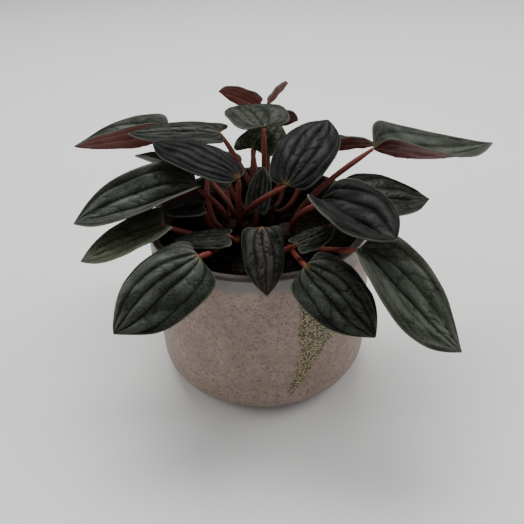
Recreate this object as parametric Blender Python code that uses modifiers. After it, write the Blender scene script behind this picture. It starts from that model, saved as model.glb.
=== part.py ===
"""A potted peperomia: a round glazed pot, its soil, three short crowns, and heart-shaped leaves on stalks."""

import math

import bmesh
import bpy

MM = 0.001
GAP = 0.3 * MM

# The pot, turned about +Z, standing on z = 0.
POT_HEIGHT = 79 * MM
RIM_RADIUS = 50 * MM
BELLY_RADIUS = 51 * MM
BELLY_HEIGHT = 30 * MM
FOOT_ROUND = 12 * MM
WALL = 3 * MM
FLOOR = 5 * MM
INNER_ROUND = 9 * MM
LIP_ROUND = 1 * MM
WALL_HEIGHTS = (62 * MM, 45 * MM, BELLY_HEIGHT)
INNER_HEIGHTS = (BELLY_HEIGHT, 50 * MM)
POT_STEPS = 48

# The soil and the crowns that stand on it.
SOIL_TOP = 67 * MM
SOIL_EDGE_DROP = 1.2 * MM
SOIL_FLAT = 0.62
CROWN_RADIUS = 6 * MM
CROWN_TOP = 76 * MM
CROWN_CHAMFER = 0.8 * MM
CROWN_STEPS = 20
CROWNS = {"left": (-11, 0), "right": (12, -8), "back": (2, 15)}

# A stalk leaves its crown from the side or from the top.
STALK_RADIUS = 1.35 * MM
SIDE_SEAT_HEIGHT = 70.5 * MM
TOP_SEAT_RADIUS = 3.8 * MM
SIDE_SEAT_GAP = 0.5 * MM
TOP_SEAT_GAP = 0.7 * MM
LEFT_SIDE, LEFT_TOP = ("left", "side"), ("left", "top")
RIGHT_SIDE, RIGHT_TOP = ("right", "side"), ("right", "top")
BACK_SIDE, BACK_TOP = ("back", "side"), ("back", "top")

# A blade is a heart: its half width peaks near the stalk, and its lobes reach back past it. A leaf's
# own lobes and point say how far they reach and how pointed its tip is.
BLADE_THICKNESS = 0.9 * MM
BASE_FULLNESS = 0.55
TIP_TAPER = 0.25
LARGE_LEAF = 25
LARGE_GRID = (10, 6)
SMALL_GRID = (6, 4)
LONG_STALK_PARTS = 9
SHORT_STALK_PARTS = 6
MERGE = 0.01 * MM

COLOURS = {
    "pot": (0.50, 0.36, 0.31, 0.45),
    "soil": (0.02, 0.014, 0.010, 0.95),
    "crown": (0.16, 0.05, 0.035, 0.60),
    "leaf": (0.045, 0.065, 0.055, 0.42),
    "stalk": (0.19, 0.035, 0.025, 0.45),
}


class Leaf:
    """One leaf: where its blade starts, how it lies and curves, and where its stalk grows (degrees, mm)."""

    def __init__(
        self, base, heading, pitch, bank, length, width, droop, fold, curl, seat, angle, rise,
        trim=1.0, lobes=2.2, point=0.66,
    ):
        self.base = [value * MM for value in base]
        self.heading = math.radians(heading)
        self.pitch = math.radians(pitch)
        self.bank = math.radians(bank)
        self.length = length * MM
        self.width = width * MM
        self.droop = math.radians(droop)
        self.fold = [math.radians(value) for value in fold]
        self.curl = [math.radians(value) for value in curl]
        self.crown, self.seat = seat
        self.angle = math.radians(angle)
        self.rise = rise * MM
        self.trim = trim * MM
        self.lobes = lobes
        self.point = point
        self.small = length < LARGE_LEAF


# Heading is the way the tip points, from +X. Fold and curl are given at the stalk and at the tip.
LEAVES = {
    "front_left": Leaf(
        (-24, -44, 87), -150, -10, 20, 44, 35, 38, (10, 0), (50, 40), LEFT_SIDE, -115, 14,
        trim=2.2, lobes=1.9, point=0.52,
    ),
    "front": Leaf(
        (1, -38, 95), -88, -15, 0, 28, 20, 40, (10, 0), (60, 50), LEFT_SIDE, -55, 12, trim=1.4, lobes=3
    ),
    "front_right": Leaf(
        (17, -52, 86), -40, -15, -22, 37, 28, 34, (10, 0), (45, 35), RIGHT_SIDE, -80, 8,
        trim=1.8, lobes=1.7, point=0.56,
    ),
    "right_low": Leaf(
        (38, -44, 87), -45, -31, 2, 54, 35, -8, (62, 0), (20, 10), RIGHT_SIDE, -48, 9,
        lobes=1.3, point=0.62,
    ),
    "right_inner": Leaf(
        (25, -24, 97), -48, -6, 3, 38, 37, -8, (60, 12), (20, 10), RIGHT_TOP, -50, 8,
        lobes=1.4, point=0.55,
    ),
    "right_middle": Leaf(
        (40, -13, 91), -2, 2, 0, 33, 38, 4, (30, 14), (20, 20), RIGHT_SIDE, -8, 12, point=0.74
    ),
    "right_high": Leaf(
        (52, 9, 105), 14, -28, 0, 62, 37, -44, (50, 14), (0, 0), RIGHT_TOP, 15, 12,
        lobes=1.5, point=0.72,
    ),
    "back_right": Leaf((32, 24, 98), 10, 0, 20, 26, 24, 0, (45, 30), (10, 10), BACK_TOP, 0, 8),
    "upright": Leaf(
        (12, -13, 100), 56, 42, -4, 40, 28, 38, (8, 2), (20, 20), LEFT_TOP, 10, 5,
        trim=3.4, lobes=1.3, point=0.42,
    ),
    "centre_bud": Leaf((-1, 2, 79), 74, 50, 0, 22, 12, 10, (25, 10), (20, 20), LEFT_SIDE, 15, 3),
    "centre_domed": Leaf(
        (-8, -5, 100), 146, 28, 0, 48, 25, 40, (10, 0), (20, 20), LEFT_TOP, -60, 8,
        trim=1.2, lobes=0.9, point=0.52,
    ),
    "back_left": Leaf(
        (-17, 38, 103), 175, 5, 0, 46, 27, 10, (20, 10), (30, 20), BACK_TOP, 165, 10, trim=2.5
    ),
    "left_high": Leaf(
        (-47, 63, 90), 180, -14, -9, 50, 39, -25, (60, 42), (10, 10), LEFT_TOP, 100, 10,
        trim=1.6, lobes=2,
    ),
    "left_middle": Leaf(
        (-27, 3, 92), -162, -10, 8, 56, 37, -8, (30, 22), (-30, 0), LEFT_TOP, -175, 6,
        lobes=1.6, point=0.62,
    ),
    "left_low": Leaf((-41, -15, 84), -158, -14, 0, 38, 26, -5, (0, 0), (-50, -20), LEFT_SIDE, -147, 8),
    "left_bud": Leaf((-15, 20, 82), 155, 0, 0, 12, 10, 10, (20, 20), (30, 30), LEFT_SIDE, 100, 6, trim=1.6),
    "left_small": Leaf(
        (-24, -6, 87), 187, 0, 0, 17, 13, 10, (20, 20), (30, 30), LEFT_SIDE, -178, 6, trim=1.4
    ),
    "front_left_small": Leaf(
        (-13, -22, 82), 180, 2, 0, 23, 16, 10, (10, 10), (30, 30), LEFT_SIDE, -85, 6, trim=3
    ),
    "front_right_small": Leaf(
        (14, -40, 88), 25, 12, 0, 18, 14, 10, (10, 10), (30, 30), RIGHT_SIDE, -112, 10, trim=3
    ),
    "back_top": Leaf((4, 26, 110), 107, 5, 0, 36, 30, 16, (20, 15), (10, 10), BACK_TOP, 70, 16),
    "back_twin_left": Leaf((3, 68, 105), 153, 16, -60, 25, 18, 10, (20, 20), (20, 20), BACK_SIDE, 114, 14),
    "back_twin_right": Leaf((7, 70, 105), 54, 20, 60, 21, 13, 10, (20, 20), (20, 20), BACK_SIDE, 80, 14),
    "back_inner": Leaf((-2, 34, 96), 60, 20, 0, 27, 26, 20, (10, 10), (30, 30), BACK_TOP, 118, 8, trim=1.6),
    "back_small": Leaf((10, 61, 100), 10, 0, 50, 13, 17, 20, (20, 20), (30, 30), BACK_SIDE, 42, 14),
    "left_inner": Leaf((-24, 20, 89), 160, 12, -10, 38, 24, 4, (40, 30), (20, 20), LEFT_SIDE, 154, 8),
    "back_right_low": Leaf((24, 33, 88), 62, 0, 0, 30, 22, 30, (20, 10), (20, 20), BACK_SIDE, 5, 10),
    "back_left_low": Leaf((-17, 45, 83), 112, 0, 0, 36, 24, 30, (20, 10), (20, 20), BACK_SIDE, 152, 10),
}


def clear_scene():
    for obj in list(bpy.data.objects):
        bpy.data.objects.remove(obj, do_unlink=True)


def new_collection(name):
    collection = bpy.data.collections.new(name)
    bpy.context.scene.collection.children.link(collection)
    return collection


def new_material(name, red, green, blue, roughness):
    material = bpy.data.materials.new(name)
    material.use_nodes = True
    shader = material.node_tree.nodes["Principled BSDF"]
    shader.inputs["Base Color"].default_value = (red, green, blue, 1.0)
    shader.inputs["Roughness"].default_value = roughness
    shader.inputs["Metallic"].default_value = 0.0
    material.diffuse_color = (red, green, blue, 1.0)
    return material


def add_object(name, data, kind, root, collection):
    """Adds a mesh or a curve as an object with a material of its own."""
    data.materials.append(new_material(name, *COLOURS[kind]))
    obj = bpy.data.objects.new(name, data)
    obj.parent = root
    collection.objects.link(obj)
    return obj


def arc(centre_r, centre_z, radius, start, end, parts):
    """Points (r, z) on an arc from the start angle to the end angle, in degrees."""
    points = []
    for step in range(parts + 1):
        angle = math.radians(start + (end - start) * step / parts)
        points.append((centre_r + radius * math.cos(angle), centre_z + radius * math.sin(angle)))
    return points


def turned(name, profile, steps, kind, root, collection):
    """Turns a profile of (r, z) points about +Z."""
    mesh = bpy.data.meshes.new(name)
    vertices = [(r, 0.0, z) for r, z in profile]
    edges = [(index, index + 1) for index in range(len(profile) - 1)]
    mesh.from_pydata(vertices, edges, [])
    obj = add_object(name, mesh, kind, root, collection)
    screw = obj.modifiers.new("turn", "SCREW")
    screw.axis = "Z"
    screw.angle = math.tau
    screw.steps = steps
    screw.render_steps = steps
    screw.use_merge_vertices = True
    screw.merge_threshold = MERGE
    screw.use_smooth_shade = True
    return obj


def wall_radius(z):
    """The outer radius of the pot at a height, above the rounded foot."""
    swell = (z - BELLY_HEIGHT) / (POT_HEIGHT - BELLY_HEIGHT)
    return BELLY_RADIUS - (BELLY_RADIUS - RIM_RADIUS) * swell * swell


def inner_profile(inset):
    """The inside of the pot from its floor's centre up to the soil line, moved in by the inset."""
    radius = INNER_ROUND - inset
    wall = wall_radius(FLOOR + INNER_ROUND) - WALL - inset
    points = [(0.0, FLOOR + inset)]
    points += arc(wall - radius, FLOOR + inset + radius, radius, -90, 0, 3)
    for z in INNER_HEIGHTS:
        points.append((wall_radius(z) - WALL - inset, z))
    return points


def make_pot(root, collection):
    profile = inner_profile(0.0)
    inside = RIM_RADIUS - WALL
    profile += arc(inside + LIP_ROUND, POT_HEIGHT - LIP_ROUND, LIP_ROUND, 180, 90, 2)
    profile += arc(RIM_RADIUS - LIP_ROUND, POT_HEIGHT - LIP_ROUND, LIP_ROUND, 90, 0, 2)
    for z in WALL_HEIGHTS:
        profile.append((wall_radius(z), z))
    foot = wall_radius(FOOT_ROUND) - FOOT_ROUND
    profile += arc(foot, FOOT_ROUND, FOOT_ROUND, 0, -90, 5)
    profile.append((0.0, 0.0))
    turned("pot", profile, POT_STEPS, "pot", root, collection)


def make_soil(root, collection):
    edge = wall_radius(SOIL_TOP) - WALL - GAP
    profile = [(0.0, SOIL_TOP), (SOIL_FLAT * edge, SOIL_TOP), (edge, SOIL_TOP - SOIL_EDGE_DROP)]
    profile += list(reversed(inner_profile(GAP)))
    turned("soil", profile, POT_STEPS, "soil", root, collection)


def make_crown(side, root, collection):
    profile = [
        (0.0, CROWN_TOP),
        (CROWN_RADIUS - CROWN_CHAMFER, CROWN_TOP),
        (CROWN_RADIUS, CROWN_TOP - CROWN_CHAMFER),
        (CROWN_RADIUS, SOIL_TOP + GAP + CROWN_CHAMFER),
        (CROWN_RADIUS - CROWN_CHAMFER, SOIL_TOP + GAP),
        (0.0, SOIL_TOP + GAP),
    ]
    crown = turned("crown_" + side, profile, CROWN_STEPS, "crown", root, collection)
    x, y = CROWNS[side]
    crown.location = (x * MM, y * MM, 0.0)


def between(pair, t):
    return pair[0] * (1 - t) + pair[1] * t


def half_width(leaf, t):
    """Half the blade's width along its length, from 0 at the stalk to 1 at the widest and 0 at the tip."""
    widest = BASE_FULLNESS / (BASE_FULLNESS + leaf.point)
    peak = widest**BASE_FULLNESS * (1 - widest) ** leaf.point
    return t**BASE_FULLNESS * (1 - t) ** (leaf.point + TIP_TAPER * t**6) / peak


def blade_point(leaf, s, t):
    """A point of the blade's middle surface, for s from -1 to 1 across it and t from 0 (stalk) to 1 (tip)."""
    along = t - leaf.lobes * s * s * t * (1 - t) ** 3
    across = abs(s) * leaf.width / 2 * half_width(leaf, t)
    tilt = between(leaf.fold, t) - between(leaf.curl, t) * abs(s) / 2
    side = math.copysign(across * math.cos(tilt), s)
    lift = across * math.sin(tilt)
    chord = -leaf.droop * along / 2
    direction = -leaf.droop * along
    # The section stands square to the midrib, then banks about it.
    out = lift * math.cos(leaf.bank) - side * math.sin(leaf.bank)
    left = side * math.cos(leaf.bank) + lift * math.sin(leaf.bank)
    x = leaf.length * along * math.cos(chord) - out * math.sin(direction)
    z = leaf.length * along * math.sin(chord) + out * math.cos(direction)
    return x, left, z


def make_blade(name, leaf, root, collection):
    """A grid bent to the blade's surface and closed to a point at both ends, then thickened."""
    along, across = SMALL_GRID if leaf.small else LARGE_GRID
    shape = bmesh.new()
    bmesh.ops.create_grid(shape, x_segments=along, y_segments=across, size=1.0)
    for vertex in shape.verts:
        t = (1 + math.sin(math.pi / 2 * vertex.co.x)) / 2
        vertex.co = blade_point(leaf, vertex.co.y, min(max(t, 0.0), 1.0))
    bmesh.ops.remove_doubles(shape, verts=shape.verts, dist=MERGE)
    mesh = bpy.data.meshes.new(name)
    shape.to_mesh(mesh)
    shape.free()
    mesh.shade_smooth()
    blade = add_object(name, mesh, "leaf", root, collection)
    blade.location = leaf.base
    blade.rotation_euler = (0.0, -leaf.pitch, leaf.heading)
    thicken = blade.modifiers.new("thickness", "SOLIDIFY")
    thicken.thickness = BLADE_THICKNESS
    thicken.offset = 0.0


def stalk_path(leaf, parts):
    """The stalk's seat on its crown, and a bent path to just short of the blade, as offsets from the seat."""
    crown_x, crown_y = CROWNS[leaf.crown]
    outward = (math.cos(leaf.angle), math.sin(leaf.angle))
    if leaf.seat == "side":
        reach = CROWN_RADIUS + SIDE_SEAT_GAP
        height = SIDE_SEAT_HEIGHT
        start = (outward[0], outward[1], 0.0)
    else:
        reach = TOP_SEAT_RADIUS
        height = CROWN_TOP + TOP_SEAT_GAP
        start = (0.0, 0.0, 1.0)
    seat = (crown_x * MM + reach * outward[0], crown_y * MM + reach * outward[1], height)
    bend = [start[axis] * leaf.rise for axis in range(3)]
    top = [leaf.base[axis] - seat[axis] for axis in range(3)]
    left_out = leaf.trim / math.dist(top, bend)
    end = [top[axis] + (bend[axis] - top[axis]) * left_out for axis in range(3)]
    path = []
    for step in range(parts + 1):
        q = step / parts
        path.append([2 * q * (1 - q) * bend[axis] + q * q * end[axis] for axis in range(3)])
    return seat, path


def make_stalk(name, leaf, root, collection):
    seat, path = stalk_path(leaf, SHORT_STALK_PARTS if leaf.small else LONG_STALK_PARTS)
    curve = bpy.data.curves.new(name, "CURVE")
    curve.dimensions = "3D"
    curve.bevel_depth = STALK_RADIUS
    curve.bevel_resolution = 2
    curve.use_fill_caps = True
    spline = curve.splines.new("POLY")
    spline.points.add(len(path) - 1)
    for point, place in zip(spline.points, path):
        point.co = (*place, 1.0)
    stalk = add_object(name, curve, "stalk", root, collection)
    stalk.location = seat


def make_plant():
    clear_scene()
    collection = new_collection("potted_peperomia")
    root = bpy.data.objects.new("potted_peperomia", None)
    collection.objects.link(root)
    make_pot(root, collection)
    make_soil(root, collection)
    for side in CROWNS:
        make_crown(side, root, collection)
    for place, leaf in LEAVES.items():
        make_blade("leaf_" + place, leaf, root, collection)
        make_stalk("stalk_" + place, leaf, root, collection)


make_plant()
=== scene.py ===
import math

import bmesh
import bpy
import numpy as np
from mathutils import Matrix, Vector, noise


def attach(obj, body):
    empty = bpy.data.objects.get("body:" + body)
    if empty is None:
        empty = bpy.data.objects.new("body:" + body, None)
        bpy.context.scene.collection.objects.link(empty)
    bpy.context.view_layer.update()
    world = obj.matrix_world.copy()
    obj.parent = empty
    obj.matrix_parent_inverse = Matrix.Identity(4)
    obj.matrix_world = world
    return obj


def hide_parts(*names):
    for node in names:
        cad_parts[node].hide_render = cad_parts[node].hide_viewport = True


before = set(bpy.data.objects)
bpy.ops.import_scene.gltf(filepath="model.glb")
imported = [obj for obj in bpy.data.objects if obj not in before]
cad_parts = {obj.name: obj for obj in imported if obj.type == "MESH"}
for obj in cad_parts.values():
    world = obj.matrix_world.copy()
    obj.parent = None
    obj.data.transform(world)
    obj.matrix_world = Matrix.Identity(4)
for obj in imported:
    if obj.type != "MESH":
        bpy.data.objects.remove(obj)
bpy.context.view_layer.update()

MM = 0.001
BODY = "root"

# Sizes shared with the construction, in millimetres.
POT_HEIGHT = 79
RIM_RADIUS = 50
BELLY_RADIUS = 51
BELLY_HEIGHT = 30
FOOT_ROUND = 12
WALL = 3
FLOOR = 5
INNER_ROUND = 9
LIP_ROUND = 1
SOIL_TOP = 67.0
CROWNS = {"left": (-11, 0), "right": (12, -8), "back": (2, 15)}
CROWN_RADIUS = 6.0
CROWN_TOP = 76.0
SIDE_SEAT_HEIGHT = 70.5
SIDE_SEAT_GAP = 0.5
TOP_SEAT_RADIUS = 3.8
TOP_SEAT_GAP = 0.7
STALK_RADIUS = 1.35
BLADE_THICKNESS = 0.9
BASE_FULLNESS = 0.55
TIP_TAPER = 0.25
LEFT_SIDE, LEFT_TOP = ("left", "side"), ("left", "top")
RIGHT_SIDE, RIGHT_TOP = ("right", "side"), ("right", "top")
BACK_SIDE, BACK_TOP = ("back", "side"), ("back", "top")

# How far the visible shapes stay inside the construction's solids.
BLADE_WIDTH_SHARE = 0.985
BLADE_LENGTH_SHARE = 0.994
BLADE_SINK = 0.75
GLAZE_INSET = 0.10
FOOT_INSET = 0.05
SOIL_GAP = 0.4
CROWN_INSET = 0.35
STALK_END_GAP = 0.4
STALK_END_DROP = 0.25
STALK_ROOT = 1.4

# How finely the shapes are divided: points across and along a blade, with the finer grid for leaves longer than
# LARGE_LEAF, and steps round the turned shapes. Points nearer than MERGE become one.
LARGE_LEAF = 24
LARGE_GRID, SMALL_GRID = (91, 100), (57, 60)
STALK_SIDES, STALK_PARTS = 16, 34
POT_STEPS, SOIL_STEPS, CROWN_STEPS = 192, 160, 56
SOIL_RINGS = 54
MERGE = 0.002

# Where each kind of piece starts its random seeds, and crumbs per square metre with their seed.
BLADE_SEED, STALK_SEED, CROWN_SEED = 1, 101, 40
FINE_CRUMBS, FINE_SEED = 260000.0, 3
BARK_CRUMBS, BARK_SEED = 40000.0, 5
SQUASH_SEED, SPIN_SEED = 7, 11


class Leaf:
    """One leaf: where its blade starts, how it lies and curves, and where its stalk grows (degrees, mm)."""

    def __init__(
        self, base, heading, pitch, bank, length, width, droop, fold, curl, seat, angle, rise,
        lobes=2.2, point=0.66,
    ):
        self.base = np.array(base, float)
        self.heading, self.pitch, self.bank = np.radians((heading, pitch, bank))
        self.length = length
        self.width = width
        self.droop = math.radians(droop)
        self.fold = np.radians(fold)
        self.curl = np.radians(curl)
        self.crown, self.seat = seat
        self.angle = math.radians(angle)
        self.rise = rise
        self.lobes = lobes
        self.point = point


# Heading is the way the tip points, from +X. Fold and curl are given at the stalk and at the tip. Lobes and
# point say how far the base lobes reach back past the stalk, and how pointed the tip is.
LEAVES = {
    "front_left": Leaf(
        (-24, -44, 87), -150, -10, 20, 44, 35, 38, (10, 0), (50, 40), LEFT_SIDE, -115, 14,
        lobes=1.9, point=0.52,
    ),
    "front": Leaf(
        (1, -38, 95), -88, -15, 0, 28, 20, 40, (10, 0), (60, 50), LEFT_SIDE, -55, 12, lobes=3
    ),
    "front_right": Leaf(
        (17, -52, 86), -40, -15, -22, 37, 28, 34, (10, 0), (45, 35), RIGHT_SIDE, -80, 8,
        lobes=1.7, point=0.56,
    ),
    "right_low": Leaf(
        (38, -44, 87), -45, -31, 2, 54, 35, -8, (62, 0), (20, 10), RIGHT_SIDE, -48, 9,
        lobes=1.3, point=0.62,
    ),
    "right_inner": Leaf(
        (25, -24, 97), -48, -6, 3, 38, 37, -8, (60, 12), (20, 10), RIGHT_TOP, -50, 8,
        lobes=1.4, point=0.55,
    ),
    "right_middle": Leaf(
        (40, -13, 91), -2, 2, 0, 33, 38, 4, (30, 14), (20, 20), RIGHT_SIDE, -8, 12, point=0.74
    ),
    "right_high": Leaf(
        (52, 9, 105), 14, -28, 0, 62, 37, -44, (50, 14), (0, 0), RIGHT_TOP, 15, 12,
        lobes=1.5, point=0.72,
    ),
    "back_right": Leaf((32, 24, 98), 10, 0, 20, 26, 24, 0, (45, 30), (10, 10), BACK_TOP, 0, 8),
    "upright": Leaf(
        (12, -13, 100), 56, 42, -4, 40, 28, 38, (8, 2), (20, 20), LEFT_TOP, 10, 5,
        lobes=1.3, point=0.42,
    ),
    "centre_bud": Leaf((-1, 2, 79), 74, 50, 0, 22, 12, 10, (25, 10), (20, 20), LEFT_SIDE, 15, 3),
    "centre_domed": Leaf(
        (-8, -5, 100), 146, 28, 0, 48, 25, 40, (10, 0), (20, 20), LEFT_TOP, -60, 8,
        lobes=0.9, point=0.52,
    ),
    "back_left": Leaf((-17, 38, 103), 175, 5, 0, 46, 27, 10, (20, 10), (30, 20), BACK_TOP, 165, 10),
    "left_high": Leaf(
        (-47, 63, 90), 180, -14, -9, 50, 39, -25, (60, 42), (10, 10), LEFT_TOP, 100, 10, lobes=2
    ),
    "left_middle": Leaf(
        (-27, 3, 92), -162, -10, 8, 56, 37, -8, (30, 22), (-30, 0), LEFT_TOP, -175, 6,
        lobes=1.6, point=0.62,
    ),
    "left_low": Leaf((-41, -15, 84), -158, -14, 0, 38, 26, -5, (0, 0), (-50, -20), LEFT_SIDE, -147, 8),
    "left_bud": Leaf((-15, 20, 82), 155, 0, 0, 12, 10, 10, (20, 20), (30, 30), LEFT_SIDE, 100, 6),
    "left_small": Leaf((-24, -6, 87), 187, 0, 0, 17, 13, 10, (20, 20), (30, 30), LEFT_SIDE, -178, 6),
    "front_left_small": Leaf(
        (-13, -22, 82), 180, 2, 0, 23, 16, 10, (10, 10), (30, 30), LEFT_SIDE, -85, 6
    ),
    "front_right_small": Leaf(
        (14, -40, 88), 25, 12, 0, 18, 14, 10, (10, 10), (30, 30), RIGHT_SIDE, -112, 10
    ),
    "back_top": Leaf((4, 26, 110), 107, 5, 0, 36, 30, 16, (20, 15), (10, 10), BACK_TOP, 70, 16),
    "back_twin_left": Leaf((3, 68, 105), 153, 16, -60, 25, 18, 10, (20, 20), (20, 20), BACK_SIDE, 114, 14),
    "back_twin_right": Leaf((7, 70, 105), 54, 20, 60, 21, 13, 10, (20, 20), (20, 20), BACK_SIDE, 80, 14),
    "back_inner": Leaf((-2, 34, 96), 60, 20, 0, 27, 26, 20, (10, 10), (30, 30), BACK_TOP, 118, 8),
    "back_small": Leaf((10, 61, 100), 10, 0, 50, 13, 17, 20, (20, 20), (30, 30), BACK_SIDE, 42, 14),
    "left_inner": Leaf((-24, 20, 89), 160, 12, -10, 38, 24, 4, (40, 30), (20, 20), LEFT_SIDE, 154, 8),
    "back_right_low": Leaf((24, 33, 88), 62, 0, 0, 30, 22, 30, (20, 10), (20, 20), BACK_SIDE, 5, 10),
    "back_left_low": Leaf((-17, 45, 83), 112, 0, 0, 36, 24, 30, (20, 10), (20, 20), BACK_SIDE, 152, 10),
}


class Look:
    """How a blade is coloured and furrowed: silver between its veins, olive, pale pink beneath, darker over all
    (partly a darker leaf tone, partly painted shade on leaves deep in the plant), blush along its midrib, and
    how strong its lengthwise ribs are."""

    def __init__(self, silver=0.55, olive=0.25, rose=0.3, dark=0.0, blush=0.0, ribs=1.0):
        self.silver = silver
        self.olive = olive
        self.rose = rose
        self.dark = dark
        self.blush = blush
        self.ribs = ribs


LOOKS = {
    "front_left": Look(silver=0.65),
    "front": Look(silver=0.45, olive=0.15, rose=0.5, dark=0.6, blush=0.4, ribs=0.6),
    "front_right": Look(dark=0.05),
    "right_low": Look(silver=1.05, olive=0.45, rose=0.4, dark=0.12, ribs=0.45),
    "right_inner": Look(silver=0.45, olive=0.2, dark=0.88, ribs=0.8),
    "right_middle": Look(silver=0.45, olive=0.2, dark=0.5, ribs=0.6),
    "right_high": Look(silver=1.1, olive=0.4, rose=0.1, dark=0.15, ribs=0.25),
    "back_right": Look(olive=0.3, rose=0.0),
    "upright": Look(olive=0.1, dark=0.85, ribs=0.85),
    "centre_bud": Look(silver=0.5, olive=0.1, dark=0.6),
    "centre_domed": Look(silver=0.3, olive=0.1, dark=1.0, ribs=0.95),
    "back_left": Look(silver=0.65, dark=0.45, ribs=0.5),
    "left_high": Look(silver=0.8, olive=0.3, rose=0.25, ribs=0.5),
    "left_middle": Look(silver=0.65, olive=0.3, ribs=0.6),
    "left_low": Look(silver=1.3, olive=0.8, rose=0.5, ribs=0.5),
    "left_small": Look(dark=0.4),
    "front_left_small": Look(silver=0.05, olive=1.0, rose=0.5, dark=0.8, ribs=0.4),
    "front_right_small": Look(silver=0.05, olive=1.0, rose=0.5, dark=0.6, ribs=0.4),
    "back_top": Look(silver=0.95, olive=0.5, dark=0.42, ribs=0.35),
    "back_twin_left": Look(rose=0.7),
    "back_twin_right": Look(rose=0.4),
    "back_inner": Look(silver=0.4, olive=1.0, ribs=0.4),
    "back_small": Look(rose=0.1),
}

# Coarse sandy glaze on the pot's side, with angles about +Z in radians and heights in mm: centre, slant, top,
# bottom, half width at the top, and the share of that width lost on the way down.
SPLASH = (-0.975, 0.0, 74.0, 38.0, 0.30, 0.0)
RUNS = (
    (-0.90, 0.44, 72.0, 12.5, 0.27, 0.9),
    (-2.85, 0.06, 72.0, 14.0, 0.32, 0.9),
    (2.0, 0.28, 73.0, 20.0, 0.27, 0.9),
    (0.75, -0.3, 71.0, 24.0, 0.25, 0.9),
)


# ---------------------------------------------------------------- materials

class Wire:
    """A value in a material. Arithmetic on it adds Math nodes."""

    def __init__(self, finish, socket):
        self.finish = finish
        self.socket = socket

    def math(self, operation, *others):
        return self.finish.math(operation, self, *others)

    def __add__(self, other):
        return self.math("ADD", other)

    def __sub__(self, other):
        return self.math("SUBTRACT", other)

    def __rsub__(self, other):
        return self.finish.math("SUBTRACT", other, self)

    def __mul__(self, other):
        return self.math("MULTIPLY", other)

    def __truediv__(self, other):
        return self.math("DIVIDE", other)

    def __rtruediv__(self, other):
        return self.finish.math("DIVIDE", other, self)

    __radd__ = __add__
    __rmul__ = __mul__

    def clamp(self):
        return self.finish.node("ShaderNodeClamp", {}, {0: self})

    def step(self, low, high):
        """A smooth step from 0 at low to 1 at high, or down where low is above high."""
        limits = (low, high, 0.0, 1.0) if low < high else (high, low, 1.0, 0.0)
        settings = {"interpolation_type": "SMOOTHSTEP"}
        return self.finish.node("ShaderNodeMapRange", settings, dict(enumerate((self, *limits))))


class Finish:
    """A material under construction: one Principled shader and the nodes that vary it."""

    def __init__(self, name, **constants):
        self.material = bpy.data.materials.new(name)
        self.material.use_nodes = True
        self.tree = self.material.node_tree
        self.shader = self.tree.nodes["Principled BSDF"]
        for socket, value in constants.items():
            self.shader.inputs[socket.replace("_", " ")].default_value = value

    def node(self, kind, settings, inputs, output=0):
        made = self.tree.nodes.new(kind)
        for name, value in settings.items():
            setattr(made, name, value)
        for key, value in inputs.items():
            if isinstance(value, Wire):
                self.tree.links.new(value.socket, made.inputs[key])
            else:
                made.inputs[key].default_value = value
        return Wire(self, made.outputs[output])

    def math(self, operation, *values):
        return self.node("ShaderNodeMath", {"operation": operation}, dict(enumerate(values)))

    def attributes(self, *names):
        """Values that the piece's mesh carries at its points."""
        return [self.node("ShaderNodeAttribute", {"attribute_name": name}, {}, "Fac") for name in names]

    def coordinates(self, kind, stretch):
        spot = self.node("ShaderNodeTexCoord", {}, {}, kind)
        return self.node("ShaderNodeVectorMath", {"operation": "MULTIPLY"}, {0: spot, 1: stretch})

    def place(self, stretch=(1, 1, 1)):
        return self.coordinates("Object", stretch)

    def surface_map(self, stretch):
        return self.coordinates("UV", stretch)

    def cloud(self, where, scale, detail=3.0, roughness=0.55):
        inputs = {"Vector": where, "Scale": scale, "Detail": detail, "Roughness": roughness}
        return self.node("ShaderNodeTexNoise", {}, inputs, "Fac")

    def cells(self, where, scale):
        return self.node("ShaderNodeTexVoronoi", {}, {"Vector": where, "Scale": scale}, "Distance")

    def blend(self, amount, first, second):
        """Mixes two colours, each a wire or its red, green and blue."""
        first, second = ((*c, 1.0) if isinstance(c, tuple) else c for c in (first, second))
        settings = {"data_type": "RGBA", "clamp_factor": True}
        return self.node("ShaderNodeMix", settings, {0: amount, 6: first, 7: second}, 2)

    def bump(self, height, distance, strength):
        return self.node("ShaderNodeBump", {}, {"Height": height, "Distance": distance, "Strength": strength})

    def set(self, **wires):
        for socket, wire in wires.items():
            self.tree.links.new(wire.socket, self.shader.inputs[socket.replace("_", " ")])
        return self.material


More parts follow.
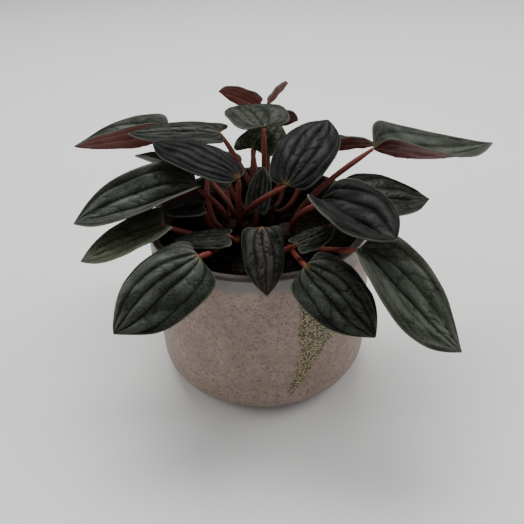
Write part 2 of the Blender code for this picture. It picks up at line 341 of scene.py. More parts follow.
def leaf_upper_finish():
    """Dark green, silver between the veins, with dark furrows that are partly darker tissue and partly painted
    shade, a pale margin that is a painted highlight, and a yellow spot at the stalk.
    """
    f = Finish("leaf_upper", Specular_IOR_Level=0.07, Coat_Roughness=0.42)
    groove, crest, edge, junction, silver, olive, dark = f.attributes(
        "groove", "crest", "edge", "junction", "silver", "olive", "dark"
    )
    patches = f.cloud(f.place(), 170.0)
    grain = f.cloud(f.place(), 1400.0, 3.0, 0.7)
    grit = f.cells(f.place(), 1900.0)
    even = silver * 0.6
    frost = (crest * (1.2 - even) + (even - 0.1)) * (patches * 1.4) * (0.4 + even)
    frost = (frost + (grain - 0.5) * 1.5 + (0.35 - grit) * 0.5).clamp()
    ground = f.blend(olive, (0.0100, 0.0115, 0.0085), (0.0170, 0.0215, 0.0075))
    light = f.blend(olive, (0.082, 0.093, 0.082), (0.071, 0.084, 0.043))
    colour = f.blend(frost, ground, light)
    # Painted shade: the dark value darkens leaves that lie in the plant's own shade, on top of their darker
    # tone.
    shaded = f.blend(frost, (0.0020, 0.0023, 0.0019), (0.0240, 0.0256, 0.0215))
    colour = f.blend(dark, colour, shaded)
    (blush,) = f.attributes("blush")
    colour = f.blend(blush, colour, (0.070, 0.034, 0.026))
    # Dark furrows along the veins: partly darker tissue, partly painted shade in the creases.
    colour = f.blend(groove * (1.1 - even), colour, (0.0032, 0.0036, 0.0026))
    # Painted highlight: the margin is lightened where light catches the rolled edge and shines through it.
    colour = f.blend(edge * (0.35 + 0.6 * patches), colour, (0.140, 0.150, 0.120))
    colour = f.blend(junction, colour, (0.15, 0.095, 0.022))
    rough = 0.42 + 0.25 * grain
    height = grain * 0.6 - grit * 0.5
    sheen = (1.0 - dark * 0.8) * crest * 0.45
    return f.set(Base_Color=colour, Roughness=rough, Coat_Weight=sheen, Normal=f.bump(height, 0.0003, 0.7))


def leaf_under_finish():
    """Maroon to pale pink, with lighter veins."""
    f = Finish("leaf_under", Specular_IOR_Level=0.12)
    groove, edge, rose, junction = f.attributes("groove", "edge", "rose", "junction")
    patches = f.cloud(f.place(), 150.0)
    grain = f.cloud(f.place(), 1500.0, 3.0, 0.7)
    ground = f.blend(rose, (0.042, 0.0060, 0.0060), (0.15, 0.036, 0.028))
    light = f.blend(rose, (0.105, 0.022, 0.018), (0.24, 0.080, 0.062))
    colour = f.blend((patches * 0.9 + grain * 0.6 - 0.3).clamp(), ground, light)
    colour = f.blend(groove * 0.4, colour, (0.15, 0.045, 0.026))
    colour = f.blend(edge * 0.5, colour, (0.070, 0.040, 0.028))
    colour = f.blend(junction, colour, (0.15, 0.050, 0.028))
    rough = 0.45 + 0.2 * grain
    return f.set(Base_Color=colour, Roughness=rough, Normal=f.bump(grain, 0.0002, 0.5))


def stalk_finish():
    """Red-brown, dark at the crown and lighter towards the blade, with long streaks and pale flecks."""
    f = Finish("stalk_skin", Specular_IOR_Level=0.16)
    along, rose = f.attributes("along", "rose")
    streaks = f.cloud(f.surface_map((9.0, 3.0, 1.0)), 4.0, 4.0)
    flecks = f.cells(f.place(), 1500.0)
    dark = f.blend(along, (0.018, 0.0030, 0.0020), (0.120, 0.020, 0.014))
    light = f.blend(along, (0.052, 0.010, 0.006), (0.29, 0.082, 0.058))
    colour = f.blend((streaks * 1.5 - 0.35 + rose * 0.3).clamp(), dark, light)
    colour = f.blend(flecks.step(0.28, 0.12) * 0.35, colour, (0.30, 0.13, 0.085))
    rough = 0.42 + 0.2 * streaks
    return f.set(Base_Color=colour, Roughness=rough, Normal=f.bump(streaks, 0.0002, 0.5))


def crown_finish():
    f = Finish("crown_bark", Specular_IOR_Level=0.1)
    lumps = f.cloud(f.place((1, 1, 2.2)), 420.0, 5.0, 0.7)
    colour = f.blend(lumps.step(0.3, 0.7), (0.008, 0.004, 0.003), (0.034, 0.016, 0.010))
    return f.set(Base_Color=colour, Roughness=0.6 + 0.3 * lumps, Normal=f.bump(lumps, 0.0006, 0.8))


def soil_finish(name, ground, light):
    f = Finish(name, Specular_IOR_Level=0.08)
    lumps = f.cloud(f.place(), 300.0, 6.0, 0.7)
    fibres = f.cloud(f.place((1.0, 1.0, 4.0)), 1100.0, 3.0, 0.7)
    colour = f.blend(lumps.step(0.35, 0.72), ground, light)
    relief = lumps + fibres * 0.6
    return f.set(Base_Color=colour, Roughness=0.8 + 0.2 * fibres, Normal=f.bump(relief, 0.001, 0.8))


def patch(turn, height, wobble, centre, slant, top, bottom, width, taper):
    """One splash of coarse glaze: broad at the top, narrowing by its taper on the way down, and slanting."""
    down = (top - height) / (top - bottom)
    offset = turn - centre + slant * down + wobble
    half = width * (1.0 - taper * down)
    inside = (half - offset.math("ABSOLUTE")).step(-0.010, 0.016)
    return inside * down.step(-0.04, 0.05) * down.step(1.02, 0.93)


def glaze_finish():
    """A mottled pink glaze with specks, sandy splashes, a grey band, a bare brown lip and a pale foot."""
    f = Finish("speckled_glaze", Specular_IOR_Level=0.45)
    spot = f.node("ShaderNodeTexCoord", {}, {}, "Object")
    x, y, z = (f.node("ShaderNodeSeparateXYZ", {}, {0: spot}, axis) for axis in "XYZ")
    turn = y.math("ARCTAN2", x)
    height = z / MM
    radius = (x * x + y * y).math("SQRT") / MM

    # The pink ground, from broad clouds to fine grain.
    cloudy = f.cloud(f.place(), 60.0, 4.0)
    mottle = f.cloud(f.place(), 330.0, 4.0, 0.6)
    fine = f.cloud(f.place(), 1500.0, 3.0, 0.6)
    grains = f.cloud(f.place(), 900.0, 2.0, 0.8)
    colour = f.blend(cloudy.step(0.3, 0.7), (0.300, 0.208, 0.166), (0.375, 0.272, 0.222))
    colour = f.blend(mottle.step(0.35, 0.75) * 0.6, colour, (0.215, 0.147, 0.118))
    colour = f.blend(fine.step(0.52, 0.75) * 0.45, colour, (0.47, 0.375, 0.32))
    colour = f.blend(grains.step(0.54, 0.70) * 0.55, colour, (0.155, 0.100, 0.080))

    # Grey blots, brown specks and blue-grey dashes.
    blots = f.cloud(f.place((1.0, 1.0, 1.5)), 620.0, 1.0).step(0.60, 0.70)
    specks = f.cells(f.place(), 640.0).step(0.36, 0.14) * f.cloud(f.place(), 500.0).step(0.38, 0.54)
    dashes = f.cells(f.place((1.0, 1.0, 1.6)), 330.0).step(0.38, 0.14)
    dashes = dashes * f.cloud(f.place(), 190.0).step(0.42, 0.60)
    colour = f.blend(blots * 0.5, colour, (0.155, 0.150, 0.150))
    colour = f.blend(specks * 0.75, colour, (0.085, 0.060, 0.050))
    colour = f.blend(dashes * 0.65, colour, (0.095, 0.100, 0.108))

    # Sandy splashes with dark grit.
    wobble = (f.cloud(f.place(), 110.0) - 0.5) * 0.14
    splash = patch(turn, height, wobble, *SPLASH)
    for run in RUNS:
        splash = splash.math("MAXIMUM", patch(turn, height, wobble, *run))
    grit = f.cells(f.place(), 1500.0).step(0.36, 0.60) * f.cells(f.place(), 560.0).step(0.20, 0.38)
    sand = f.blend(mottle, (0.26, 0.21, 0.105), (0.44, 0.37, 0.21))
    sand = f.blend(1.0 - grit, sand, (0.028, 0.022, 0.013))
    colour = f.blend(splash * (0.8 + 0.4 * mottle), colour, sand)

    # The band, the lip, the painted shade on the inside and the foot, by height and radius in mm.
    band = (height + (mottle - 0.5) * 3.2).step(70.5, 74.0)
    grey = f.blend(mottle, (0.105, 0.105, 0.100), (0.215, 0.208, 0.190))
    colour = f.blend(band * 0.92, colour, grey)
    lip = height.step(77.0, 77.7) * radius.step(46.2, 46.8)
    bare = f.blend(mottle, (0.018, 0.0125, 0.009), (0.070, 0.049, 0.035))
    colour = f.blend(lip * 0.95, colour, bare)
    # Painted shade: the inside of the pot is darkened, as it lies in shadow within the wall.
    inside = radius.step(48.4, 47.8) * height.step(3.0, 4.5)
    colour = f.blend(inside * 0.85, colour, (0.050, 0.044, 0.038))
    foot = height.step(1.2, 0.4)
    colour = f.blend(foot, colour, (0.42, 0.33, 0.27))
    rough = 0.42 + 0.18 * mottle + 0.35 * lip - 0.08 * band
    relief = fine * 0.4 + specks * 0.5 + splash * grit * 1.2
    return f.set(Base_Color=colour, Roughness=rough, Normal=f.bump(relief, 0.00022, 0.55))


def floor_finish():
    f = Finish("pale_floor", Specular_IOR_Level=0.35)
    soft = f.cloud(f.place(), 4.0)
    fine = f.cloud(f.place(), 220.0)
    colour = f.blend(soft, (0.815, 0.818, 0.793), (0.855, 0.855, 0.832))
    return f.set(Base_Color=colour, Roughness=0.42 + 0.1 * fine)


# ---------------------------------------------------------------- meshes

def in_scene(name, data):
    obj = bpy.data.objects.new(name, data)
    bpy.context.scene.collection.objects.link(obj)
    return obj


def skin(name, rings, materials, values=None, uv=None, parts=0):
    """A closed skin over rings of points (ring, around, xyz) in millimetres. Rings that shrink to a point
    close it. The values become attributes, and parts says which material each face takes."""
    rows, around = rings.shape[:2]
    index = np.arange(rows * around).reshape(rows, around)
    following = np.roll(index, -1, 1)
    quads = np.stack([index[:-1], index[1:], following[1:], following[:-1]], -1)
    mesh = bpy.data.meshes.new(name)
    mesh.from_pydata(rings.reshape(-1, 3) * MM, [], quads.reshape(-1, 4).tolist())
    for key, field in (values or {}).items():
        layer = mesh.attributes.new(key, "FLOAT", "POINT")
        layer.data.foreach_set("value", np.broadcast_to(field, (rows, around)).astype(np.float32).ravel())
    if uv is not None:
        corners = np.empty(len(mesh.loops), np.int32)
        mesh.loops.foreach_get("vertex_index", corners)
        layer = mesh.uv_layers.new(name="surface")
        layer.data.foreach_set("uv", uv.reshape(-1, 2)[corners].astype(np.float32).ravel())
    parts = np.broadcast_to(parts, (rows - 1, around)).astype(np.int32)
    mesh.polygons.foreach_set("material_index", parts.ravel())
    shape = bmesh.new()
    shape.from_mesh(mesh)
    bmesh.ops.remove_doubles(shape, verts=shape.verts, dist=MERGE * MM)
    bmesh.ops.recalc_face_normals(shape, faces=shape.faces)
    shape.to_mesh(mesh)
    shape.free()
    mesh.shade_smooth()
    for material in materials:
        mesh.materials.append(material)
    return in_scene(name, mesh)


def stands_for(piece, node):
    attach(piece, BODY)
    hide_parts(node)


def smooth(value, low, high):
    x = np.clip((value - low) / (high - low), 0, 1)
    return x * x * (3 - 2 * x)


def hump(distance, width):
    """1 at no distance, falling off over the width."""
    return np.exp(-((distance / width) ** 2))


def waves(rng, a, b, count, reach):
    """A smooth random field over two coordinates, roughly within -1 and 1."""
    total = 0
    for _ in range(count):
        fa, fb = rng.uniform(-reach, reach, 2)
        total = total + np.sin(fa * a + fb * b + rng.uniform(0, math.tau))
    return total / math.sqrt(count)


def half_width(leaf, t):
    widest = BASE_FULLNESS / (BASE_FULLNESS + leaf.point)
    peak = widest**BASE_FULLNESS * (1 - widest) ** leaf.point
    return leaf.width / 2 * t**BASE_FULLNESS * (1 - t) ** (leaf.point + TIP_TAPER * t**6) / peak


def blade_surface(leaf, s, t):
    """The blade's middle surface in mm, for s from -1 to 1 across it and t from 0 (stalk) to 1 (tip)."""
    along = t - leaf.lobes * s**2 * t * (1 - t) ** 3
    across = np.abs(s) * half_width(leaf, t) * BLADE_WIDTH_SHARE
    fold = leaf.fold[0] * (1 - t) + leaf.fold[1] * t
    curl = leaf.curl[0] * (1 - t) + leaf.curl[1] * t
    tilt = fold - curl * np.abs(s) / 2
    side = across * np.cos(tilt) * np.sign(s)
    lift = across * np.sin(tilt)
    chord = -leaf.droop * along / 2
    direction = -leaf.droop * along
    out = lift * math.cos(leaf.bank) - side * math.sin(leaf.bank)
    left = side * math.cos(leaf.bank) + lift * math.sin(leaf.bank)
    reach = leaf.length * along * BLADE_LENGTH_SHARE
    x = reach * np.cos(chord) - out * np.sin(direction)
    z = reach * np.sin(chord) + out * np.cos(direction)
    turn = Matrix.Rotation(leaf.heading, 3, "Z") @ Matrix.Rotation(-leaf.pitch, 3, "Y")
    return np.stack([x, left, z], -1) @ np.array(turn).T + leaf.base


def surface_normals(points):
    """Unit normals over the blade. Its two ends shrink to points, so they take those of the rows beside."""
    normal = np.cross(np.gradient(points, axis=0), np.gradient(points, axis=1))
    tiny = 1e-12
    normal = normal / np.maximum(np.linalg.norm(normal, axis=-1, keepdims=True), tiny)
    normal[0], normal[-1] = normal[2].mean(0), normal[-3].mean(0)
    normal[1] = normal[2]
    normal[-2] = normal[-3]
    return normal / np.maximum(np.linalg.norm(normal, axis=-1, keepdims=True), tiny)


def main_veins(look, rng, t):
    """The five lengthwise veins: each one's place across the blade and its depth, which fades at the tip."""
    wander = 0.03 * waves(rng, t * 2, t * 3, 3, 3.0)
    inner = 0.35 + rng.uniform(-0.03, 0.03) + 0.04 * t
    outer = 0.68 + rng.uniform(-0.03, 0.03) + 0.14 * t
    inner_depth, outer_depth = 0.95 * look.ribs, 0.7 * look.ribs
    places = (-outer, -inner, 0.0, inner, outer)
    depths = (outer_depth, inner_depth, 1.0, inner_depth, outer_depth)
    return [
        (place + wander, depth * (1 - smooth(t, 0.45 + depth / 2, 0.6 + depth / 2)))
        for place, depth in zip(places, depths)
    ]


def ridges_between(mains, rng, s, t, half):
    """Rounded ridges between neighbouring main veins, and from the outer ones to the margins."""
    lines = [(-1.0, 0.0), *mains, (1.0, 0.0)]
    ridge = np.zeros_like(s)
    for (low, low_depth), (high, high_depth) in zip(lines[:-1], lines[1:]):
        x = np.clip((s - low) / (high - low), 0, 1)
        arch = 1 - np.abs(2 * x - 1) ** 2.8
        gap = (high - low) * half
        depth = low_depth * (1 - x) + high_depth * x
        height = np.minimum(gap * (0.06 + 0.11 * depth), 0.95) * (1 + 0.25 * waves(rng, t * 9, t * 3, 4, 2.0))
        ridge = np.where((s >= low) & (s <= high), arch * height, ridge)
    return ridge


def side_veins(leaf, look, rng, s, t):
    """Thin curved veins that branch off the midrib or a vein beside it, outwards and towards the tip."""
    crossing = np.zeros_like(s)
    for side in (-1, 1):
        spot = 0.03 + rng.uniform(0, 0.06)
        while spot < 0.88:
            start = rng.choice((0.0, 0.0, 0.36))
            reach = start + rng.uniform(0.3, 0.6)
            slope = rng.uniform(0.25, 0.5)
            strength = rng.uniform(0.35, 1.0) * (1.35 - 0.5 * look.ribs)
            run = np.abs(s) - start
            bow = 0.03 * np.sin(run * 9 + rng.uniform(0, 6)) + 0.012 * np.sin(run * 31 + rng.uniform(0, 6))
            distance = (t - spot - slope * run + 0.2 * run**2 - bow) * leaf.length * 0.85
            fade = 1 - smooth(run, reach - start - 0.12, reach - start)
            here = (s * side > 0) * smooth(run, 0.0, 0.04) * fade
            crossing = np.maximum(crossing, strength * here * hump(distance, 0.45))
            spot += rng.uniform(0.045, 0.11)
    return crossing


def veins(leaf, look, rng, s, t):
    """Relief in millimetres, groove and crest over the blade. Main veins run from stalk to tip as grooves
    with soft ridges between them, and thinner side veins branch off across the ridges."""
    half = half_width(leaf, t)
    mains = main_veins(look, rng, t)
    ridge = ridges_between(mains, rng, s, t, half)
    groove = np.zeros_like(s)
    for place, depth in mains:
        distance = np.abs(s - place) * half
        groove = np.maximum(groove, depth * (0.7 * hump(distance, 0.36) + 0.3 * np.exp(-distance / 0.9)))
    crossing = side_veins(leaf, look, rng, s, t)
    room = np.minimum(1.0, half / 8.0)
    quilt = 0.13 * waves(rng, s * 9, t * 14, 9, 1.6) + 0.07 * waves(rng, s * 20, t * 32, 9, 1.4)
    relief = ridge + room * (quilt - 0.34 * crossing - 0.22 * groove)
    crest = np.clip(ridge / np.maximum(ridge.max(1, keepdims=True), 0.05), 0, 1) * (1 - 0.7 * crossing)
    crest = np.clip(crest + quilt * 2.0, 0, 1)
    return relief, np.maximum(groove, 0.75 * crossing * room), crest


def spread(count):
    """Steps from 0 to 1 that are even, and finer near both ends."""
    step = np.clip(np.minimum(np.arange(count - 1), np.arange(count - 1)[::-1]) / (0.12 * count), 0.03, 1)
    return np.concatenate([[0], np.cumsum(step)]) / step.sum()


def make_blade(place, leaf, look, upper, under, seed):
    """The blade as rings: over the top from margin to margin, round the edge, and back underneath, where
    every second point is enough."""
    rng = np.random.default_rng(seed)
    across, along = LARGE_GRID if leaf.length > LARGE_LEAF else SMALL_GRID
    s = np.linspace(-1, 1, across)
    s = np.sign(s) * (1 - (1 - np.abs(s)) ** 1.15)
    s, t = np.meshgrid(s, spread(along))
    middle = blade_surface(leaf, s, t)
    normal = surface_normals(middle)
    relief, groove, crest = veins(leaf, look, rng, s, t)
    half = half_width(leaf, t)
    inward = (1 - np.abs(s)) * half

    # Slow bends of the whole blade, a wavy margin, and a margin turned down a little.
    sway = 0.25 * waves(rng, s * 2, t * 5, 6, 2.0) * np.minimum(1, half / 8)
    flutter = 0.22 * waves(rng, t * 14, s * 2, 4, 2.0) * hump(inward, 2.5) * np.minimum(1, half / 8)
    hem = -0.25 * hump(inward, 0.8) * np.minimum(1, half / 6)
    lift = (relief - BLADE_SINK * np.minimum(1, half / 11) + sway + flutter + hem)[..., None]
    thick = BLADE_THICKNESS / 2 * (0.65 + 0.35 * np.minimum(1, inward / 1.2))[..., None]
    over = middle + normal * (lift + thick)
    beneath = middle + normal * (lift * 0.9 - thick)
    rim = (over[:, [-1, 0]] + beneath[:, [-1, 0]]) / 2
    outward = middle[:, [-1, 0]] - middle[:, [-2, 1]]
    outward /= np.maximum(np.linalg.norm(outward, axis=-1, keepdims=True), 1e-9)
    rim = rim + outward * 0.02
    rings = np.concatenate([over, rim[:, :1], beneath[:, ::-2], rim[:, 1:]], 1)

    def wrap(field):
        return np.concatenate([field, field[:, -1:], field[:, ::-2], field[:, :1]], 1)

    from_base = np.linalg.norm(middle - leaf.base, axis=-1)
    fields = {
        "groove": groove,
        "crest": crest,
        "edge": hump(inward, 0.4),
        "junction": hump(from_base, 0.045 * leaf.length) * 0.6,
        "blush": look.blush * hump(s * half, 2.6),
    }
    values = {name: wrap(field) for name, field in fields.items()}
    values.update(silver=look.silver, olive=look.olive, rose=look.rose, dark=look.dark)
    uv = np.stack([wrap(s) * 0.5 + 0.5, wrap(t)], -1)
    sides = np.concatenate([np.zeros(across + 1, int), np.ones(across // 2, int), np.zeros(2, int)])
    piece = skin("blade_" + place, rings, (upper, under), values, uv, sides)
    stands_for(piece, "leaf_" + place)


def stalk_path(leaf):
    """The stalk's line from inside its crown's skin to the underside of the blade's base."""
    crown = np.array((*CROWNS[leaf.crown], 0.0))
    outward = np.array((math.cos(leaf.angle), math.sin(leaf.angle), 0.0))
    if leaf.seat == "side":
        seat = crown + outward * (CROWN_RADIUS + SIDE_SEAT_GAP) + (0, 0, SIDE_SEAT_HEIGHT)
        start = outward
    else:
        seat = crown + outward * TOP_SEAT_RADIUS + (0, 0, CROWN_TOP + TOP_SEAT_GAP)
        start = np.array((0.0, 0.0, 1.0))
    bend = seat + start * leaf.rise
    back = (bend - leaf.base) * (STALK_END_GAP / np.linalg.norm(leaf.base - bend))
    end = leaf.base + back - (0, 0, STALK_END_DROP)
    q = np.linspace(0, 1, STALK_PARTS)[:, None]
    path = (1 - q) ** 2 * seat + 2 * q * (1 - q) * bend + q * q * end
    return np.concatenate([[seat - start * STALK_ROOT], path])


def tube(path, radii, sides):
    """Rings round a path, carried along it without twisting, and shrunk to a point at both ends."""
    forward = np.gradient(path, axis=0)
    forward /= np.linalg.norm(forward, axis=1, keepdims=True)
    first = np.cross(forward[0], (0.3, 0.9, 0.2))
    rings = []
    turn = np.arange(sides) * math.tau / sides
    for spot, ahead, radius in zip(path, forward, radii):
        first = first - ahead * (first @ ahead)
        first /= np.linalg.norm(first)
        second = np.cross(ahead, first)
        rings.append(spot + radius * (np.cos(turn)[:, None] * first + np.sin(turn)[:, None] * second))
    return np.stack([np.repeat(path[:1], sides, 0), *rings, np.repeat(path[-1:], sides, 0)])


def make_stalk(place, leaf, look, finish, seed):
    """A slightly uneven tube that flares at the crown and narrows under the blade."""
    rng = np.random.default_rng(seed)
    path = stalk_path(leaf)
    q = np.linspace(0, 1, len(path))
    radii = STALK_RADIUS * (1.0 - 0.10 * q + 0.10 * hump(q, 0.06))
    radii *= 1 + 0.025 * waves(rng, q, q, 4, 18)
    radii *= 1 - 0.35 * smooth(q, 0.88, 1.0)
    rings = tube(path, radii, STALK_SIDES)
    along = np.concatenate([[0], q, [1]])[:, None]
    round_it = np.linspace(0, 1, STALK_SIDES)[None, :]
    uv = np.stack(np.broadcast_arrays(round_it, along * np.ptp(path[:, 2]) / 20), -1)
    piece = skin("stem_" + place, rings, (finish,), {"along": along, "rose": look.rose}, uv)
    stands_for(piece, "stalk_" + place)


def lathe(profile, steps, wobble=0.0):
    """Rings of a profile of (r, z) points turned about +Z, a little out of round if asked."""
    turn = np.arange(steps) * math.tau / steps
    lean = np.random.default_rng(1).uniform(0, 6)
    profile = np.array(profile, float)
    r, z = profile[:, :1], profile[:, 1:]
    out = 1 + wobble * (np.sin(2 * turn + lean) + 0.5 * np.sin(3 * turn + z * 0.05))
    flat = np.broadcast_to(z, (len(profile), steps))
    return np.stack([r * out * np.cos(turn), r * out * np.sin(turn), flat], -1)


def arc(r, z, radius, start, end, parts):
    angles = np.radians(np.linspace(start, end, parts))
    return [(r + radius * math.cos(a), z + radius * math.sin(a)) for a in angles]


def wall_radius(z):
    """The pot's outer radius at a height."""
    swell = (z - BELLY_HEIGHT) / (POT_HEIGHT - BELLY_HEIGHT)
    return BELLY_RADIUS - (BELLY_RADIUS - RIM_RADIUS) * swell * swell


def inner_corner(inset, start, end, parts):
    """The rounding between the inside of the wall and the floor, moved in by the inset."""
    corner = FLOOR + INNER_ROUND
    return arc(wall_radius(corner) - (WALL + INNER_ROUND), corner, INNER_ROUND - inset, start, end, parts)


def make_pot(finish):
    """The pot's shell, from the floor inside, over the lip and down to the flat foot, with throwing rings."""
    inner_start, lip_start, outer_end = 17, 77.2, 13
    inner = [(0.0, FLOOR)] + inner_corner(0, -90, 0, 12)
    inner += [(wall_radius(z) - WALL, z) for z in np.linspace(inner_start, lip_start, 24)]
    lip = arc(RIM_RADIUS - WALL + LIP_ROUND, POT_HEIGHT - LIP_ROUND, LIP_ROUND, 180, 90, 7)
    lip += arc(RIM_RADIUS - LIP_ROUND, POT_HEIGHT - LIP_ROUND, LIP_ROUND, 90, 0, 7)
    outer = []
    for z in np.linspace(lip_start, outer_end, 70):
        outer.append((wall_radius(z) - GLAZE_INSET + 0.06 * math.sin(z * 1.1) + 0.04 * math.sin(z * 2.7), z))
    foot = arc(wall_radius(FOOT_ROUND) - (FOOT_ROUND + FOOT_INSET), FOOT_ROUND, FOOT_ROUND, 0, -90, 22)
    rings = lathe(inner + lip + outer + foot + [(0.0, 0.0)], POT_STEPS, 0.0006)
    stands_for(skin("glazed_pot", rings, (finish,)), "pot")


def crumb_tree(finish):
    """Geometry Nodes: crumbs of several sizes strewn over the upward faces of the mix."""
    tree = bpy.data.node_groups.new("strewn_crumbs", "GeometryNodeTree")
    tree.interface.new_socket("Geometry", in_out="INPUT", socket_type="NodeSocketGeometry")
    for name in ("Per Square Metre", "Smallest", "Largest"):
        tree.interface.new_socket(name, in_out="INPUT", socket_type="NodeSocketFloat")
    tree.interface.new_socket("Seed", in_out="INPUT", socket_type="NodeSocketInt")
    tree.interface.new_socket("Geometry", in_out="OUTPUT", socket_type="NodeSocketGeometry")

    def add(kind, inputs, output=0, **settings):
        """Adds a node and returns one of its outputs."""
        made = tree.nodes.new(kind)
        for key, value in settings.items():
            setattr(made, key, value)
        for key, value in inputs.items():
            if isinstance(value, bpy.types.NodeSocket):
                tree.links.new(value, made.inputs[key])
            else:
                made.inputs[key].default_value = value
        return made.outputs[output]

    def random_vector(low, high, seed):
        return add("FunctionNodeRandomValue", {0: low, 1: high, "Seed": seed}, data_type="FLOAT_VECTOR")

    given = tree.nodes.new("NodeGroupInput").outputs
    normal = add("GeometryNodeInputNormal", {})
    upward = add("ShaderNodeSeparateXYZ", {0: normal}, "Z")
    facing = add("FunctionNodeCompare", {0: upward, 1: 0.6}, operation="GREATER_THAN")
    scatter = {"Mesh": given["Geometry"], "Selection": facing, "Density": given["Per Square Metre"],
               "Seed": given["Seed"]}
    points = add("GeometryNodeDistributePointsOnFaces", scatter, "Points", distribute_method="RANDOM")
    ball = add("GeometryNodeMeshIcoSphere", {"Radius": 1.0, "Subdivisions": 1}, "Mesh")
    limits = {2: given["Smallest"], 3: given["Largest"], "Seed": given["Seed"]}
    size = add("FunctionNodeRandomValue", limits, 1, data_type="FLOAT")
    squash = random_vector((0.6, 0.6, 0.35), (1.4, 1.2, 0.9), SQUASH_SEED)
    scale = add("ShaderNodeVectorMath", {0: squash, "Scale": size}, operation="SCALE")
    spin = random_vector((-0.7, -0.7, 0.0), (0.7, 0.7, math.tau), SPIN_SEED)
    crumbs = {"Points": points, "Instance": ball, "Rotation": spin, "Scale": scale}
    strewn = add("GeometryNodeInstanceOnPoints", crumbs)
    solid = add("GeometryNodeRealizeInstances", {0: strewn})
    painted = add("GeometryNodeSetMaterial", {"Geometry": solid, "Material": finish})
    tree.links.new(painted, tree.nodes.new("NodeGroupOutput").inputs[0])
    return tree


def strew(base, name, finish, per_square_metre, smallest, largest, seed):
    """Runs the crumb tree over the mix and keeps its result as a plain mesh. Sizes are radii in mm."""
    modifier = base.modifiers.new("crumbs", "NODES")
    modifier.node_group = crumb_tree(finish)
    wanted = {
        "Per Square Metre": per_square_metre, "Smallest": smallest * MM, "Largest": largest * MM, "Seed": seed
    }
    for item in modifier.node_group.interface.items_tree:
        if item.in_out == "INPUT" and item.name in wanted:
            modifier[item.identifier] = wanted[item.name]
    base.update_tag()
    graph = bpy.context.evaluated_depsgraph_get()
    mesh = bpy.data.meshes.new_from_object(base.evaluated_get(graph))
    base.modifiers.remove(modifier)
    mesh.name = name
    return in_scene(name, mesh)


def make_soil(finish, crumb_finish):
    """The mix: an uneven top inside the wall, its sides and floor, and crumbs over the top."""
    inset = WALL + SOIL_GAP
    edge = wall_radius(SOIL_TOP) - inset
    top = [(r, SOIL_TOP - 0.4) for r in np.linspace(0, edge - 1.5, SOIL_RINGS)] + [(edge, SOIL_TOP - 1.6)]
    sides = [(wall_radius(z) - inset, z) for z in (60, 45, 30, 18)] + inner_corner(SOIL_GAP, 0, -90, 6)
    rings = lathe(top + sides + [(0.0, FLOOR + SOIL_GAP)], SOIL_STEPS)
    for ring in rings[1:SOIL_RINGS]:
        for point in ring:
            bumps = noise.fractal(Vector(point) * 0.16, 0.9, 2.2, 5) * 0.9
            near_wall = smooth(math.hypot(point[0], point[1]), edge - 5, edge)
            point[2] += min(bumps, 0.9) - 0.9 * near_wall - 0.3
    rings[0] = rings[1].mean(0)
    piece = skin("potting_mix", rings, ())
    fine = strew(piece, "fine_crumbs", crumb_finish, FINE_CRUMBS, 0.35, 0.8, FINE_SEED)
    coarse = strew(piece, "bark_crumbs", crumb_finish, BARK_CRUMBS, 0.9, 1.9, BARK_SEED)
    piece.data.materials.append(finish)
    for mix in (piece, fine, coarse):
        stands_for(mix, "soil")


def make_crown(side, finish, seed):
    """A short thick stem with a knobbly surface and a rounded top, rooted in the mix."""
    x, y = CROWNS[side]
    rng = np.random.default_rng(seed)
    root, bottom, shoulder, dome = 66.2, 66.4, 75.2, 0.75
    quarter = math.pi / 2
    rounding = shoulder + dome * np.sin(np.linspace(0.2, quarter, 6))
    z = np.concatenate([[root], np.linspace(bottom, shoulder, 20), rounding, [CROWN_TOP]])
    shrink = np.concatenate([[0.0], np.full(20, 1.0), np.cos(np.linspace(0.2, quarter - 0.05, 6)), [0.0]])
    turn = np.arange(CROWN_STEPS) * math.tau / CROWN_STEPS
    rows, around = np.meshgrid(z, turn, indexing="ij")
    knobs = 0.04 * waves(rng, np.cos(around) * 3, rows * 0.5, 5, 2.5)
    knobs = knobs + 0.04 * waves(rng, np.sin(around) * 4, rows, 5, 2.5)
    radius = (CROWN_RADIUS - CROWN_INSET) * shrink[:, None] * (1 + np.clip(knobs, -0.09, 0.06))
    rings = np.stack([x + radius * np.cos(around), y + radius * np.sin(around), rows], -1)
    stands_for(skin("short_stem_" + side, rings, (finish,)), "crown_" + side)


# ---------------------------------------------------------------- stage, camera and light

def make_floor():
    size = 3.0
    corners = [(-size, -size, 0), (size, -size, 0), (size, size, 0), (-size, size, 0)]
    mesh = bpy.data.meshes.new("floor")
    mesh.from_pydata(corners, [], [(0, 1, 2, 3)])
    mesh.materials.append(floor_finish())
    in_scene("floor", mesh)


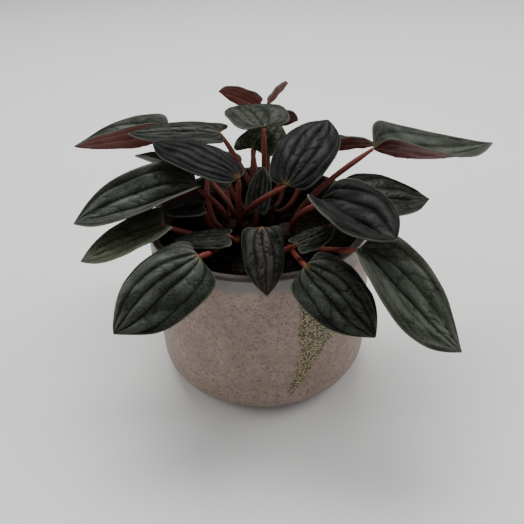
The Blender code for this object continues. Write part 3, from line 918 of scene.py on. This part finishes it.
def make_camera():
    """Looks down on the plant from in front, a little rolled. It is placed from the middle of the rim."""
    distance = 0.273
    elevation, pitch, roll, yaw = (math.radians(angle) for angle in (30.2, 34.8, -2.3, 0.14))
    rim = POT_HEIGHT * MM
    spot = Vector((0, -distance * math.cos(elevation), rim + distance * math.sin(elevation)))
    turn = Matrix.Rotation(-yaw, 4, "Z") @ Matrix.Rotation(math.radians(90) - pitch, 4, "X")
    turn = turn @ Matrix.Rotation(roll, 4, "Z")
    data = bpy.data.cameras.new("camera")
    data.lens = 41.0
    data.sensor_width = 36.0
    data.clip_start = 0.01
    camera = in_scene("camera", data)
    camera.matrix_world = Matrix.Translation(spot) @ turn
    bpy.context.scene.camera = camera


def soft_light(name, place, size, power):
    """A lamp the size of a window, aimed at the middle of the plant."""
    target = Vector((0, 0, 0.05))
    data = bpy.data.lights.new(name, "AREA")
    data.shape = "RECTANGLE"
    data.size, data.size_y = size
    data.energy = power
    light = in_scene(name, data)
    light.location = place
    light.rotation_euler = (target - Vector(place)).to_track_quat("-Z", "Y").to_euler()


def make_light():
    soft_light("overhead", (-0.05, 0.45, 1.05), (0.9, 0.7), 13.3)
    soft_light("right_window", (0.95, 0.2, 0.8), (0.8, 0.8), 5.7)
    soft_light("left_window", (-1.0, 0.0, 0.7), (0.8, 0.8), 3.6)
    world = bpy.data.worlds.new("room")
    world.use_nodes = True
    sky = world.node_tree.nodes["Background"].inputs
    sky["Color"].default_value = (0.93, 0.96, 1.0, 1.0)
    sky["Strength"].default_value = 0.35
    bpy.context.scene.world = world


make_floor()
make_camera()
make_light()
make_pot(glaze_finish())
make_soil(
    soil_finish("moist_mix", (0.0035, 0.0026, 0.0020), (0.014, 0.010, 0.007)),
    soil_finish("crumb", (0.005, 0.0035, 0.0027), (0.030, 0.020, 0.014)),
)
bark = crown_finish()
for number, side in enumerate(CROWNS):
    make_crown(side, bark, CROWN_SEED + number)
upper, under, stalk = leaf_upper_finish(), leaf_under_finish(), stalk_finish()
for number, (place, leaf) in enumerate(LEAVES.items()):
    look = LOOKS.get(place, Look())
    make_blade(place, leaf, look, upper, under, BLADE_SEED + number)
    make_stalk(place, leaf, look, stalk, STALK_SEED + number)
